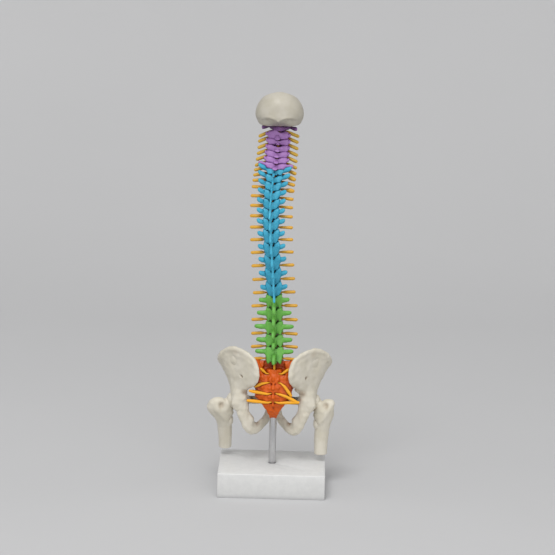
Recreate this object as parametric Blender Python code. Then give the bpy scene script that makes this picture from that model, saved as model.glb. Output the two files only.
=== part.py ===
"""A coloured teaching model of the human spine with pelvis and thigh bone stubs, standing on a rod and base.

The back of the model faces -Y, its own left side is -X and +Z is up. Lengths are worked out in
millimetres and turned into metres once, in finish().
"""

import math

import bmesh
import bpy
import numpy as np
from mathutils import Matrix, Vector

METRES = 0.001
SIDES = (-1, 1)

# The fit left between pieces that touch.
SEAT = 0.3

# Base and rod.
BASE_WIDTH = 120.0
BASE_DEPTH = 95.0
BASE_HEIGHT = 28.0
BASE_EDGE = 1.2
ROD_RADIUS = 4.0
ROD_FOOT_Z = 6.0
ROD_FIT = 0.4
ROD_IN_SACRUM = 9.6

# Skull piece.
SKULL_HALF_WIDTH = 26.6
SKULL_DEPTH = 25.0
SKULL_CENTRE = (-0.6, -2.0, 426.0)
SKULL_RISE = 24.6
SKULL_FALL = 13.7
SKULL_WALL = 2.6
SKULL_ANGLES = 18
SKULL_FRONT_RIM = 64.0
SKULL_BACK_RIM = 170.0

# Hip joint.
HIP_X = 43.0
HIP_Y = 13.0
HIP_Z = 97.0
HEAD_RADIUS = 10.5
SOCKET_FIT = 0.5
SOCKET_WALL = 2.0
PIN_RADIUS = 1.5
PIN_FIT = 0.35
PIN_HEAD_RADIUS = 2.7
PIN_HEAD_THICK = 1.6
LEFT_SWING = 14.0
RIGHT_SWING = 0.0
SHAFT_RADIUS = 7.3
SHAFT_END = 61.0

# Screws that hold the hip bones to the sacrum.
SCREW_Y = -8.5
SCREW_Z = 130.0
SCREW_RADIUS = 1.0
SCREW_HEAD_RADIUS = 1.6
SCREW_HEAD_THICK = 1.2
SCREW_SEAT_X = 32.5
SCREW_TIP_X = 20.0
SCREW_FIT = 0.35

# Column: the level pitches from the first neck vertebra down to the sacrum.
PITCHES = (7.4, 7.3, 7.3, 7.1, 7.2, 6.9, 6.6, 7.0, 7.4, 8.9, 9.3, 10.0, 11.0, 13.4, 14.0, 14.3, 16.4, 16.5,
           16.4, 16.6, 17.2, 16.8, 14.0, 13.6)
ATLAS_Z = 410.5
LEAN_HEIGHTS = (144.0, 183.0, 235.0, 262.0, 312.0, 361.0, 388.0, 411.0)
LEAN_DEGREES = (24.0, 1.0, -17.0, -15.0, 0.0, 20.0, 3.0, -5.0)
SACRUM_TOP_Z = 143.6
SACRUM_TOP_Y = 7.0
ROD_TOP_Z = SACRUM_TOP_Z - ROD_IN_SACRUM
SIDE_BEND = 6.6
SIDE_BEND_Z = 322.0
SIDE_BEND_ABOVE = 52.0
SIDE_BEND_BELOW = 90.0
TWIST_HEIGHTS = (150.0, 183.0, 235.0, 322.0, 396.0, 403.0, 411.0)
TWIST_DEGREES = (-1.0, -3.0, -1.0, -4.0, -4.0, -7.0, -4.0)

# Half spans over the transverse processes, first neck vertebra to last lumbar one.
HALF_SPANS = (19.3, 13.4, 13.0, 13.0, 13.2, 13.6, 18.6, 17.6, 16.8, 15.6, 15.0, 15.0, 14.8, 14.8, 14.4, 14.4,
              14.8, 15.0, 14.5, 16.5, 18.6, 21.2, 19.4, 20.6)
# Spinous processes: how far each reaches behind the canal and how far its tip drops.
SPINE_REACH = (1.0, 3.0, 2.2, 2.4, 2.8, 3.6, 6.5, 9.0, 9.6, 9.0, 8.6, 8.4, 8.4, 8.6, 9.0, 9.6,
               10.0, 10.2, 10.4, 11.5, 12.0, 12.2, 12.0, 10.5)
SPINE_DROP = (0.0, 1.4, 1.0, 1.2, 1.4, 1.8, 3.0, 5.0, 7.6, 9.2, 10.6, 12.0, 12.6, 13.0, 12.4, 11.0,
              8.0, 5.6, 5.4, 4.0, 3.6, 3.4, 3.4, 4.0)

BODY_HALF_WIDTHS = (5.0, 6.0, 6.2, 8.2, 9.0, 10.8)
BODY_DEPTHS = (7.0, 7.5, 7.6, 12.0, 12.8, 14.0)

PILLAR_HALVES = (10.8, 11.0, 8.6, 8.6, 8.8, 9.6)
BODY_SHARES = (0.36, 0.36, 0.39, 0.40, 0.37, 0.37)
FACET_SLOPES = (0.6, 0.7, 0.8, 0.8, 0.35, 0.3)
FACET_SHARE = 0.56
PEDICLE_THICK = 2.0
DISC_SIDES = 12

FEMUR_STATIONS = (
    (11.6, -0.4, -45.0, 7.2, 7.0), (12.2, -1.0, -33.0, 7.5, 7.3), (14.0, -2.4, -24.0, 8.2, 8.0),
    (16.4, -3.8, -14.0, 9.8, 8.6), (18.4, -4.8, -6.5, 9.6, 8.6), (18.8, -5.6, 0.0, 8.2, 7.6),
    (18.4, -6.2, 3.4, 5.4, 5.2), (18.2, -6.4, 4.6, 2.4, 2.4))
FEMUR_NECK = ((17.0, -4.0, -9.0), (12.0, -2.8, -6.4), (7.0, -1.4, -3.4), (1.0, 0.0, 0.0))
FEMUR_NECK_RADII = (8.8, 7.8, 6.6, 5.6)
FOSSA_PLACE = (15.6, -12.0, -1.2)
PIN_TIP = 1.0
SKULL_SHARES = (0.0, 0.11, 0.23, 0.35, 0.47, 0.6, 0.74, 0.87, 1.0)

CANAL_HALF = 4.0
CANAL_DEPTH = 6.6
FORAMEN_DEPTH = 3.5
LAMINA_THICK = 1.7
CORD_RADIUS = 1.9
NERVE_RADIUS = 1.8
ROOT_RADIUS = 1.2
NERVE_SIDES = 5
NERVE_HALVES = (22.2, 23.2, 23.4, 23.6, 25.6, 26.4)
FACET_GAP = 1.15
NERVE_FALL_LEVELS = (0, 5, 7, 9, 18, 23)
LEFT_NERVE_FALLS = (8.4, 7.4, 4.5, 0.6, 0.8, 1.4)
RIGHT_NERVE_FALLS = (5.8, 5.2, 4.4, 0.6, 0.6, 1.2)

# Sacrum and tail bone: slope and reach at lengths below the top.
SACRUM_LENGTHS = (0.0, 12.0, 24.0, 34.0, 44.0, 52.0, 62.0, 71.0)
SACRUM_DEGREES = (26.0, 36.0, 32.0, 18.0, 5.0, -12.0, -34.0, -42.0)
SACRUM_ROWS = (0.0, 5.0, 11.0, 17.0, 23.0, 29.0, 35.0, 41.0, 46.0, 51.0, 57.0, 64.0, 72.0)
SACRUM_HALF = (21.0, 30.0, 32.0, 30.0, 25.5, 21.5, 18.5, 16.0, 14.0, 11.5, 7.5, 5.0, 3.2)
SACRUM_FRONT = (6.5, 6.2, 5.4, 4.6, 4.0, 3.4, 3.0, 2.6, 2.4, 2.2, 2.0, 1.8, 1.2)
SACRUM_BACK = (13.2, 13.0, 12.2, 11.0, 9.6, 8.2, 6.8, 5.4, 4.2, 2.8, 2.2, 1.8, 1.2)
SACRUM_CANAL = (9.4, 9.0, 8.2, 7.2, 6.0, 5.0, 4.0, 3.2, 2.6, 2.0, 1.6, 1.0, 0.6)
SACRUM_ACROSS = (-1.0, -0.8, -0.55, -0.3, -0.07, 0.07, 0.3, 0.55, 0.8, 1.0)
SACRAL_STARTS = (16.5, 26.0, 37.0, 46.0)
SACRAL_HOLES = (8.4, 7.4, 6.8, 6.6)
LEFT_SACRAL_REACH = (15.5, 21.5, 27.5, 29.5)
LEFT_SACRAL_FALLS = (-5.0, 4.5, -2.5, -1.6)
RIGHT_SACRAL_REACH = (16.5, 20.0, 28.0, 29.0)
RIGHT_SACRAL_FALLS = (-4.5, 13.0, 9.0, -1.0)
NOTCH_HALF = 11.6
NOTCH_Z = 138.5
NOTCH_Y = -1.0
L5_ARCH_DROP = 5.0

# Right hip bone: place and thickness of each corner, from the crest (C) down to the socket (A, B).
HIP_ROWS = "CQRWAB"
HIP_CORNERS = {
    "C0": (18.0, -23.0, 149.5, 5.5), "C1": (28.0, -16.0, 159.5, 5.0), "C2": (45.0, -3.0, 164.0, 5.0),
    "C3": (62.0, 9.0, 157.0, 5.0), "C4": (68.0, 21.0, 141.0, 4.5),
    "Q0": (13.5, -26.0, 134.0, 6.0), "Q1": (27.0, -17.0, 143.0, 4.5), "Q2": (44.0, -4.0, 145.0, 2.4),
    "Q3": (58.0, 9.0, 143.0, 2.4), "Q4": (59.0, 33.0, 130.0, 4.5),
    "R0": (20.0, -21.0, 119.0, 6.0), "R1": (31.0, -9.0, 127.0, 6.5), "R2": (43.0, 1.0, 129.0, 3.4),
    "R3": (53.0, 11.0, 129.0, 3.6), "R4": (54.0, 27.0, 122.0, 5.0),
    "W0": (31.0, -5.0, 116.0, 6.5), "W1": (37.0, 0.5, 115.0, 9.0), "W2": (42.0, 6.0, 114.0, 11.0),
    "W3": (46.0, 14.0, 114.0, 10.0), "W4": (48.0, 23.0, 113.0, 7.0),
    "A0": (32.0, -6.0, 104.0, 9.0), "A1": (38.0, 1.0, 104.0, 20.0), "A2": (40.0, 11.0, 105.0, 25.0),
    "A3": (40.5, 20.0, 104.0, 20.0), "A4": (38.0, 28.0, 103.0, 9.0),
    "B0": (29.0, -8.0, 92.0, 8.0), "B1": (36.0, 0.5, 89.0, 18.0), "B2": (38.0, 11.0, 85.0, 21.0),
    "B3": (34.0, 21.0, 90.0, 14.0), "B4": (29.0, 28.0, 97.0, 7.0),
    "D0": (39.0, -7.0, 79.0, 12.0), "D1": (25.0, 4.5, 81.0, 9.0), "E0": (31.0, -5.0, 60.0, 12.0),
    "E1": (21.0, 4.5, 73.0, 8.0), "F0": (18.0, 3.0, 57.5, 8.0), "F1": (16.5, 10.0, 69.0, 5.0),
    "G0": (8.5, 15.0, 67.0, 5.5), "G1": (12.0, 18.0, 76.0, 4.0), "H0": (-0.5, 26.0, 74.0, 6.5),
    "H1": (9.0, 25.0, 82.0, 5.5), "I0": (-0.5, 31.0, 93.0, 7.0), "I1": (10.0, 28.0, 88.0, 6.0),
    "J0": (11.0, 31.0, 96.5, 6.0), "J1": (15.0, 26.0, 88.5, 5.5), "K0": (20.0, 30.0, 99.0, 6.0),
    "K1": (22.0, 23.0, 89.0, 6.0),
}
HIP_STRIP = (("B0", "B1"), ("D0", "D1"), ("E0", "E1"), ("F0", "F1"), ("G0", "G1"), ("H0", "H1"),
             ("I0", "I1"), ("J0", "J1"), ("K0", "K1"), ("B4", "B3"))

LEVELS = (["atlas_c1", "axis_c2"] + ["cervical_c%d" % n for n in range(3, 8)]
          + ["thoracic_t%d" % n for n in range(1, 13)] + ["lumbar_l%d" % n for n in range(1, 6)])


def clear_scene():
    for item in list(bpy.data.objects):
        bpy.data.objects.remove(item, do_unlink=True)


def material(name, colour, roughness, metallic=0.0):
    made = bpy.data.materials.new(name)
    made.use_nodes = True
    shader = made.node_tree.nodes["Principled BSDF"]
    shader.inputs["Base Color"].default_value = (*colour, 1.0)
    shader.inputs["Roughness"].default_value = roughness
    shader.inputs["Metallic"].default_value = metallic
    return made


def finish(name, bm, look, smooth=True):
    bmesh.ops.recalc_face_normals(bm, faces=bm.faces)
    bmesh.ops.scale(bm, vec=(METRES, METRES, METRES), verts=bm.verts)
    mesh = bpy.data.meshes.new(name)
    bm.to_mesh(mesh)
    bm.free()
    made = bpy.data.objects.new(name, mesh)
    bpy.context.scene.collection.objects.link(made)
    if look is not None:
        mesh.materials.append(look)
    for face in mesh.polygons:
        face.use_smooth = smooth
    return made


def level_heights():
    heights = [ATLAS_Z]
    for pitch in PITCHES:
        heights.append(heights[-1] - pitch)
    return heights


def lean_at(z):
    return math.radians(float(np.interp(z, LEAN_HEIGHTS, LEAN_DEGREES)))


def side_at(z):
    spread = SIDE_BEND_ABOVE if z > SIDE_BEND_Z else SIDE_BEND_BELOW
    return -SIDE_BEND * math.exp(-((z - SIDE_BEND_Z) / spread) ** 2)


def column_point(z):
    steps = 60
    y = SACRUM_TOP_Y
    height = (z - SACRUM_TOP_Z) / steps
    for n in range(steps):
        y += math.tan(lean_at(SACRUM_TOP_Z + (n + 0.5) * height)) * height
    return Vector((side_at(z), y, z))


def level_frame(z):
    side_lean = math.atan(side_at(z + 0.5) - side_at(z - 0.5))
    twist = math.radians(float(np.interp(z, TWIST_HEIGHTS, TWIST_DEGREES)))
    turn = Matrix.Rotation(side_lean, 4, "Y") @ Matrix.Rotation(-lean_at(z), 4, "X")
    return Matrix.Translation(column_point(z)) @ turn @ Matrix.Rotation(twist, 4, "Z")


def by_region(values, index):
    """Values at the two ends of the neck, chest and lumbar regions, read at one level."""
    if index < 7:
        part = max(index - 2, 0) / 4
        return values[0] + (values[1] - values[0]) * part
    if index < 19:
        return values[2] + (values[3] - values[2]) * (index - 7) / 11
    return values[4] + (values[5] - values[4]) * (index - 19) / 4


class Level:
    """The sizes of one vertebra, measured from the middle of its body."""

    def __init__(self, index, frames):
        self.index = index
        self.frame = frames[index]
        self.half = by_region(BODY_HALF_WIDTHS, index)
        self.depth = by_region(BODY_DEPTHS, index)
        self.pillar = by_region(PILLAR_HALVES, index)
        self.back = -self.depth / 2
        self.span = HALF_SPANS[index]
        self.reach = SPINE_REACH[index]
        self.drop = SPINE_DROP[index]
        self.neck = index < 7
        self.lumbar = index > 18
        up = PITCHES[max(index - 1, 0)]
        share = by_region(BODY_SHARES, index)
        self.top = up * share
        self.bottom = -PITCHES[index] * share
        self.slope = by_region(FACET_SLOPES, index)
        self.next = None
        self.slope_below = by_region(FACET_SLOPES, min(index + 1, 23))
        post = Vector((0, self.back - FORAMEN_DEPTH, 0))
        here = self.frame @ post
        self.post_up = (frames[index - 1] @ post - here).length if index else up
        self.post_down = (here - frames[index + 1] @ post).length

    def pillar_top(self, y):
        return FACET_SHARE * self.post_up + self.slope * (y - self.back + FORAMEN_DEPTH)

    def pillar_bottom(self, y):
        drop = self.slope_below * (y - self.back + FORAMEN_DEPTH)
        extra = L5_ARCH_DROP if self.index == len(LEVELS) - 1 else 0.0
        return (FACET_SHARE - 1) * self.post_down + FACET_GAP + drop - extra


def column(outer, inner, tops, waist=1.0, inner_ends=None):
    """One upright slice of a vertebra's ring: outer and inner place, four heights, inner end heights."""
    heights = tops if len(tops) == 4 else (tops[0], tops[0] * 0.7 + tops[1] * 0.3,
                                           tops[0] * 0.3 + tops[1] * 0.7, tops[1])
    return {"outer": outer, "inner": inner, "heights": heights, "waist": waist,
            "inner_ends": inner_ends or (heights[0], heights[3])}


def ring_columns(v):
    """The right half of a vertebra's ring, from the lamina at the back round to the body's front."""
    b = v.back
    c = v.canal = CANAL_HALF + (0.8 if v.lumbar else 0.0)
    front = b - FORAMEN_DEPTH
    rear = b - CANAL_DEPTH
    arch = rear - LAMINA_THICK
    pedicle = min(v.half * 0.9, c + PEDICLE_THICK)
    pedicle_top = v.top * 0.78
    pedicle_low = pedicle_top - (v.top - v.bottom) * 0.42
    ends = (v.top, v.bottom)
    lamina_top = v.pillar_top(arch) - 0.12 * v.post_up
    root_top = v.pillar_top(rear) - 0.18 * v.post_up
    root_low = root_top - max(2.4, 0.34 * v.post_up)
    pillar_back = (v.pillar_top(arch + 0.6), v.pillar_top(arch + 0.6) - 0.2 * v.post_up,
                   v.pillar_bottom(arch + 0.6) + 0.2 * v.post_up, v.pillar_bottom(arch + 0.6))
    pillar_side = (v.pillar_top(rear), root_top, root_low, v.pillar_bottom(rear))
    pillar_front = (v.pillar_top(front), root_top, root_low, v.pillar_bottom(front))
    return [
        column((0.9, arch), (c * 0.25, rear), (lamina_top, v.pillar_bottom(arch) + 0.3)),
        column((v.pillar * 0.62, arch + 0.6), (c * 0.8, rear + 0.9), pillar_back,
               inner_ends=(v.pillar_top(rear + 0.9), v.pillar_bottom(rear + 0.9))),
        column((v.pillar, rear), (c, rear + 2.0), pillar_side,
               inner_ends=(v.pillar_top(rear + 2.0), v.pillar_bottom(rear + 2.0))),
        column((v.pillar, front), (c, front), pillar_front),
        column((pedicle, front + 0.7), (c, front + 0.7), (pedicle_top, pedicle_low)),
        column((pedicle, b - 0.3), (c, b - 0.3), (pedicle_top, pedicle_low)),
        column((v.half * 0.88, b + v.depth * 0.08), (c * 0.85, b), ends, 0.93),
        column((v.half, b + v.depth * 0.56), (c * 0.5, b), ends, 0.88),
        column((v.half * 0.48, b + v.depth), (c * 0.16, b), ends, 0.9),
    ]


def build_ring(columns):
    """A closed ring mesh from the right half's columns and their mirror images."""
    bm = bmesh.new()
    ring = []
    count = len(columns)
    for k in range(2 * count):
        side = 1 if k < count else -1
        col = columns[k] if k < count else columns[2 * count - 1 - k]
        ox, oy = col["outer"]
        ix, iy = col["inner"]
        scales = (1.0, col["waist"], col["waist"], 1.0)
        outer = [bm.verts.new((side * ox * s, oy * s if oy > 0 else oy, h))
                 for h, s in zip(col["heights"], scales)]
        inner = [bm.verts.new((side * ix, iy, height)) for height in col["inner_ends"]]
        ring.append((outer, inner))
    for k in range(2 * count):
        (o1, i1), (o2, i2) = ring[k], ring[(k + 1) % (2 * count)]
        for n in range(3):
            bm.faces.new((o1[n], o1[n + 1], o2[n + 1], o2[n]))
        bm.faces.new((o1[3], i1[1], i2[1], o2[3]))
        bm.faces.new((i1[1], i1[0], i2[0], i2[1]))
        bm.faces.new((i1[0], o1[0], o2[0], i2[0]))
    return bm, ring


def grow(bm, rows, rings):
    """Pull a strip of faces, given as rows of two corners, out through rings of new corners."""
    for upper, lower in zip(rows, rows[1:]):
        bm.faces.remove(bm.faces.get((upper[0], upper[1], lower[1], lower[0])))
    for row in rows[1:-1]:
        bm.edges.remove(bm.edges.get(row))
    for centre, wide, tall in rings:
        last = len(rows) - 1
        made = []
        for n in range(len(rows)):
            lift = Vector(tall) * (1 - 2 * n / last)
            made.append([bm.verts.new(Vector(centre) + lift - Vector(wide)),
                         bm.verts.new(Vector(centre) + lift + Vector(wide))])
        loop_old = [r[0] for r in rows] + [r[1] for r in reversed(rows)]
        loop_new = [r[0] for r in made] + [r[1] for r in reversed(made)]
        for n in range(len(loop_old)):
            m = (n + 1) % len(loop_old)
            bm.faces.new((loop_old[n], loop_old[m], loop_new[m], loop_new[n]))
        rows = made
    for upper, lower in zip(rows, rows[1:]):
        bm.faces.new((upper[0], upper[1], lower[1], lower[0]))


def grow_spinous(bm, ring, v):
    """The spinous process, from the lamina's middle face backward and down."""
    start = ring[0][0][1].co
    low = ring[0][0][3].co
    rows = [(ring[-1][0][n], ring[0][0][n]) for n in (1, 2, 3)]
    tall = (start.z - low.z) / 2
    middle = (start.z + low.z) / 2
    y = start.y
    thin = 2.2 if v.neck else (0.7 if not v.lumbar else 0.85)
    tip_tall = tall * (0.5 if not v.lumbar else 0.85)
    if not v.neck and not v.lumbar:
        tip_tall = min(tip_tall, 1.6)
    rings = []
    for part, swell in ((0.45, 0.95), (1.0, 1.15)):
        centre = (0, y - v.reach * part, middle - v.drop * part)
        height = tall + (tip_tall - tall) * part
        rings.append((centre, (thin * swell, 0, 0), (0, 0.15 * height, height)))
    grow(bm, rows, rings)


def grow_transverse(bm, ring, v, side):
    """A transverse process, from the side face of the articular pillar outward."""
    count = len(ring)
    a, b = (2, 3) if side > 0 else (count - 3, count - 4)
    rows = [(ring[a][0][n], ring[b][0][n]) for n in (1, 2)]
    top, low = ring[a][0][1].co, ring[a][0][2].co
    middle = (top.z + low.z) / 2
    y = (ring[a][0][1].co.y + ring[b][0][1].co.y) / 2
    sweep = -3.2 if not (v.neck or v.lumbar) else (-0.4 if v.lumbar else -0.8)
    rise = 0.8 if not v.lumbar else 0.6
    rings = []
    low_end = v.index < 6
    stout = 1.3 if low_end else (1.6 if v.lumbar else 1.8)
    for part, tall, deep in ((0.45, 1.5 if low_end else 1.9, stout), (1.0, 1.6 if low_end else 2.2, stout)):
        x = v.pillar + (v.span - v.pillar) * part
        centre = (side * x, y + sweep * part, middle + rise * part)
        rings.append((centre, (0, deep, 0), (0, 0, tall)))
    grow(bm, rows, rings)


def vertebra(v):
    bm, ring = build_ring(ring_columns(v))
    grow_spinous(bm, ring, v)
    for side in SIDES:
        grow_transverse(bm, ring, v, side)
    if v.index == 1:
        grow_dens(bm, ring, v)
    bm.transform(v.frame)
    return bm


def grow_dens(bm, ring, v):
    """The upright peg of the second neck vertebra, from the middle strip of the body's top face."""
    count = len(ring) // 2
    right, left = ring[count - 1], ring[count]
    rows = [(right[1][0], left[1][0]), (right[0][0], left[0][0])]
    rings = []
    for height, wide in ((v.top + 1.6, 1.7), (v.top + 4.2, 1.9), (PITCHES[0] + 2.2, 1.2)):
        rings.append(((0, 0.6, height), (-wide, 0, 0), (0, -wide, 0)))
    grow(bm, rows, rings)


def atlas(v):
    """The first neck vertebra: a ring with two side masses and no body."""
    arch = (1.5, -1.4)
    rear_arch = (0.9, -3.0)
    mass = (2.3, 1.0, -1.0, -2.3)
    bm, ring = build_ring([
        column((1.0, -10.8), (0.9, -8.8), rear_arch),
        column((5.4, -9.5), (4.6, -7.8), rear_arch),
        column((9.0, -5.6), (6.3, -4.8), (1.4, 0.4, -1.4, -2.0)),
        column((10.8, -2.4), (6.2, -2.6), mass),
        column((10.8, 0.4), (5.4, -0.2), mass),
        column((9.6, 2.6), (5.2, 2.2), mass),
        column((6.6, 4.6), (4.4, 3.4), (1.8, -1.8)),
        column((3.8, 5.8), (2.6, 4.1), arch),
        column((1.2, 6.3), (0.9, 4.5), arch),
    ])
    for side in SIDES:
        a, b = (3, 4) if side > 0 else (len(ring) - 4, len(ring) - 5)
        rows = [(ring[a][0][n], ring[b][0][n]) for n in (1, 2)]
        rings = [((side * 14.5, -1.4, -0.8), (0, 1.6, 0), (0, 0, 1.7)),
                 ((side * v.span, -1.8, -1.4), (0, 1.9, 0), (0, 0, 2.2))]
        grow(bm, rows, rings)
    bm.transform(v.frame)
    return bm


def disc_loop(v, height):
    """Corners of a disc's rim at one height of a vertebra's own frame."""
    loop = []
    for n in range(DISC_SIDES):
        angle = 2 * math.pi * (n + 0.5) / DISC_SIDES
        x = v.half * 0.9 * math.cos(angle)
        y = v.depth * 0.47 * math.sin(angle)
        if math.sin(angle) < 0:
            x *= 1.05
            y *= 0.9
        loop.append(Vector((x, y, height)))
    return loop


def disc(upper, lower):
    """The pad between two bodies, from one end face to the other."""
    bm = bmesh.new()
    top = [bm.verts.new(upper.frame @ p) for p in disc_loop(upper, upper.bottom - SEAT)]
    if lower is None:
        low = [bm.verts.new(sacrum_place(p.x, p.y, -SEAT)) for p in disc_loop(upper, 0.0)]
    else:
        low = [bm.verts.new(lower.frame @ p) for p in disc_loop(lower, lower.top + SEAT)]
    for n in range(DISC_SIDES):
        m = (n + 1) % DISC_SIDES
        bm.faces.new((top[n], top[m], low[m], low[n]))
    bm.faces.new(top)
    bm.faces.new(low)
    return bm


def add_tube(bm, points, radii, sides, squash=1.0):
    """A closed tube through the points, with its own radius at each."""
    rings = []
    run = Vector(points[-1]) - Vector(points[0])
    guide = Vector((0, 1, 0)) if abs(run.z) > abs(run.x) + abs(run.y) else Vector((0, 0, 1))
    for n, point in enumerate(points):
        before = points[max(n - 1, 0)]
        after = points[min(n + 1, len(points) - 1)]
        along = (Vector(after) - Vector(before)).normalized()
        across = along.cross(guide).normalized()
        up = across.cross(along)
        ring = []
        for k in range(sides):
            angle = 2 * math.pi * k / sides
            offset = across * math.cos(angle) + up * (math.sin(angle) * squash)
            ring.append(bm.verts.new(Vector(point) + offset * radii[n]))
        rings.append(ring)
    for a, b in zip(rings, rings[1:]):
        for k in range(sides):
            m = (k + 1) % sides
            bm.faces.new((a[k], a[m], b[m], b[k]))
    bm.faces.new(rings[0])
    bm.faces.new(rings[-1])


def sacrum_point(s):
    """Middle of the sacrum's body line at the length s below its top, and the slope there."""
    y, z = SACRUM_TOP_Y, SACRUM_TOP_Z
    steps = 40
    for n in range(steps):
        angle = math.radians(float(np.interp((n + 0.5) * s / steps, SACRUM_LENGTHS, SACRUM_DEGREES)))
        y -= math.sin(angle) * s / steps
        z -= math.cos(angle) * s / steps
    return y, z, math.radians(float(np.interp(s, SACRUM_LENGTHS, SACRUM_DEGREES)))


def sacrum_place(x, forward, s):
    y, z, angle = sacrum_point(s)
    return Vector((x, y + forward * math.cos(angle), z - forward * math.sin(angle)))


def sacrum_profile(s):
    """Half width, front and back reach of the sacrum and tail bone at the length s."""
    return [float(np.interp(s, SACRUM_ROWS, values)) for values in (SACRUM_HALF, SACRUM_FRONT, SACRUM_BACK)]


def sacrum_back(x, s):
    """How far back the sacrum's rear face lies at the side distance x and the length s."""
    half, front, back = sacrum_profile(s)
    wide = min(abs(x) / (half * 0.94), 1.0)
    return -back * (1 - 0.26 * min(wide / 0.3, 1) - 0.08 * wide)


def sacrum_shell():
    bm = bmesh.new()
    faces = []
    for side in (1, -1):
        sheet = []
        for s in SACRUM_ROWS:
            half, front, back = sacrum_profile(s)
            row = []
            for u in SACRUM_ACROSS:
                wide = abs(u)
                if side > 0:
                    forward = front * (1 - 0.45 * wide)
                    x = u * half * 1.06
                else:
                    x = u * half * 0.94
                    ripple = 0.9 * math.cos(s * 2 * math.pi / 10.5) if s < 46 and wide < 0.1 else 0.0
                    forward = sacrum_back(x, s) - ripple
                row.append(bm.verts.new(sacrum_place(x, forward, s)))
            sheet.append(row)
        faces.append(sheet)
    front, back = faces
    last = len(SACRUM_ACROSS) - 1
    for r in range(len(SACRUM_ROWS) - 1):
        for c in range(last):
            bm.faces.new((front[r][c], front[r][c + 1], front[r + 1][c + 1], front[r + 1][c]))
            bm.faces.new((back[r][c], back[r][c + 1], back[r + 1][c + 1], back[r + 1][c]))
        for c in (0, last):
            bm.faces.new((front[r][c], back[r][c], back[r + 1][c], front[r + 1][c]))
    for r in (0, -1):
        for c in range(last):
            bm.faces.new((front[r][c], front[r][c + 1], back[r][c + 1], back[r][c]))
    return bm


def nerve_path(v, lower, side):
    """One nerve from the cord out between two vertebrae to its rounded tip."""
    low = v.top * 0.78 - (v.top - v.bottom) * 0.42
    top = v.frame.inverted() @ lower.frame @ Vector((0, lower.back - 1.9, lower.top * 0.78))
    z = (low + top.z) / 2 - (0.85 if v.index == 0 else 0.0)
    y = v.back - (1.35 if v.neck else 1.9)
    ahead = 0.7 if v.neck else 0.3
    tip = by_region(NERVE_HALVES, v.index)
    fall = float(np.interp(v.index, NERVE_FALL_LEVELS, LEFT_NERVE_FALLS if side < 0 else RIGHT_NERVE_FALLS))
    side_x = v.half + 1.4
    points = [(0.5, y - 0.2, z), (side_x, y, z - 0.05 * fall),
              (side_x + 2.6, y + ahead, z - 0.16 * fall), (tip - 1.2, y + 1.0, z - 0.92 * fall),
              (tip, y + 1.1, z - fall)]
    radii = [ROOT_RADIUS * 0.8, ROOT_RADIUS, NERVE_RADIUS, NERVE_RADIUS, NERVE_RADIUS * 0.55]
    return [v.frame @ Vector((side * x, yy, zz)) for x, yy, zz in points], radii


def sacral_nerve_path(n, side):
    """One nerve out of the back of the sacrum and across to the hip bone."""
    s = SACRAL_STARTS[n]
    hole = SACRAL_HOLES[n]
    reach = (LEFT_SACRAL_REACH if side < 0 else RIGHT_SACRAL_REACH)[n]
    end = s + (LEFT_SACRAL_FALLS if side < 0 else RIGHT_SACRAL_FALLS)[n]
    depth = float(np.interp(s, SACRUM_ROWS, SACRUM_CANAL))
    places = ((hole, s + 0.4, 0.1), (hole * 0.6 + reach * 0.4, s * 0.7 + end * 0.3, 0.9),
              (hole * 0.25 + reach * 0.75, s * 0.3 + end * 0.7, 1.4), (reach, end, 1.6))
    points = [sacrum_place(side * 0.4, -depth, s - 1), sacrum_place(side * hole * 0.6, -depth - 0.3, s)]
    for x, along, lift in places:
        points.append(sacrum_place(side * x, sacrum_back(x, along) - lift, along))
    radii = [0.7, 0.9, 1.2, 1.7, 1.8, 1.1]
    return points, radii


def longer(points, extra):
    """The same path with both ends moved out by extra."""
    first = (points[0] - points[1]).normalized() * extra
    last = (points[-1] - points[-2]).normalized() * extra
    return [points[0] + first] + points[1:-1] + [points[-1] + last]


def cord_path(levels):
    points = []
    top = levels[0]
    centre = -CANAL_DEPTH / 2
    points.append(top.frame @ Vector((0, top.back + centre, 5.0)))
    for v in levels:
        points.append(v.frame @ Vector((0, v.back + centre, 0)))
    for s in (1.5, 7.0, 13.0, 20.0, 27.0, 34.0, 40.0, 46.0):
        depth = float(np.interp(s, SACRUM_ROWS, SACRUM_CANAL))
        points.append(sacrum_place(0, -depth, s))
    return points


def cord_solid(levels, extra):
    """The cord and every nerve as closed tubes, made wider by extra for cutting room."""
    cord = bmesh.new()
    points = cord_path(levels)
    radii = [CORD_RADIUS + extra] * (len(points) - 8) + [1.8 + extra, 1.6 + extra, 1.4 + extra, 1.2 + extra,
                                                       1.1 + extra, 1.0 + extra, 0.9 + extra, 0.7 + extra]
    add_tube(cord, longer(points, extra), radii, 6)
    nerves = bmesh.new()
    for side in SIDES:
        for v, lower in zip(levels, levels[1:] + [levels[-1].next]):
            path, sizes = nerve_path(v, lower, side)
            add_tube(nerves, longer(path, extra), [size + extra for size in sizes], NERVE_SIDES)
        for n in range(4):
            path, sizes = sacral_nerve_path(n, side)
            add_tube(nerves, longer(path, extra), [size + extra for size in sizes], NERVE_SIDES)
    return cord, nerves


def box(centre, size):
    bm = bmesh.new()
    bmesh.ops.create_cube(bm, size=1.0)
    bmesh.ops.scale(bm, vec=size, verts=bm.verts)
    bmesh.ops.translate(bm, vec=centre, verts=bm.verts)
    return bm


def rod_along(axis, start, end, radius, sides):
    """A straight round bar along X or Z between two points on its line."""
    bm = bmesh.new()
    length = abs((Vector(end) - Vector(start)).length)
    bmesh.ops.create_cone(bm, cap_ends=True, segments=sides, radius1=radius, radius2=radius, depth=length)
    if axis == "X":
        bm.transform(Matrix.Rotation(math.pi / 2, 4, "Y"))
    bmesh.ops.translate(bm, vec=(Vector(start) + Vector(end)) / 2, verts=bm.verts)
    return bm


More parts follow.
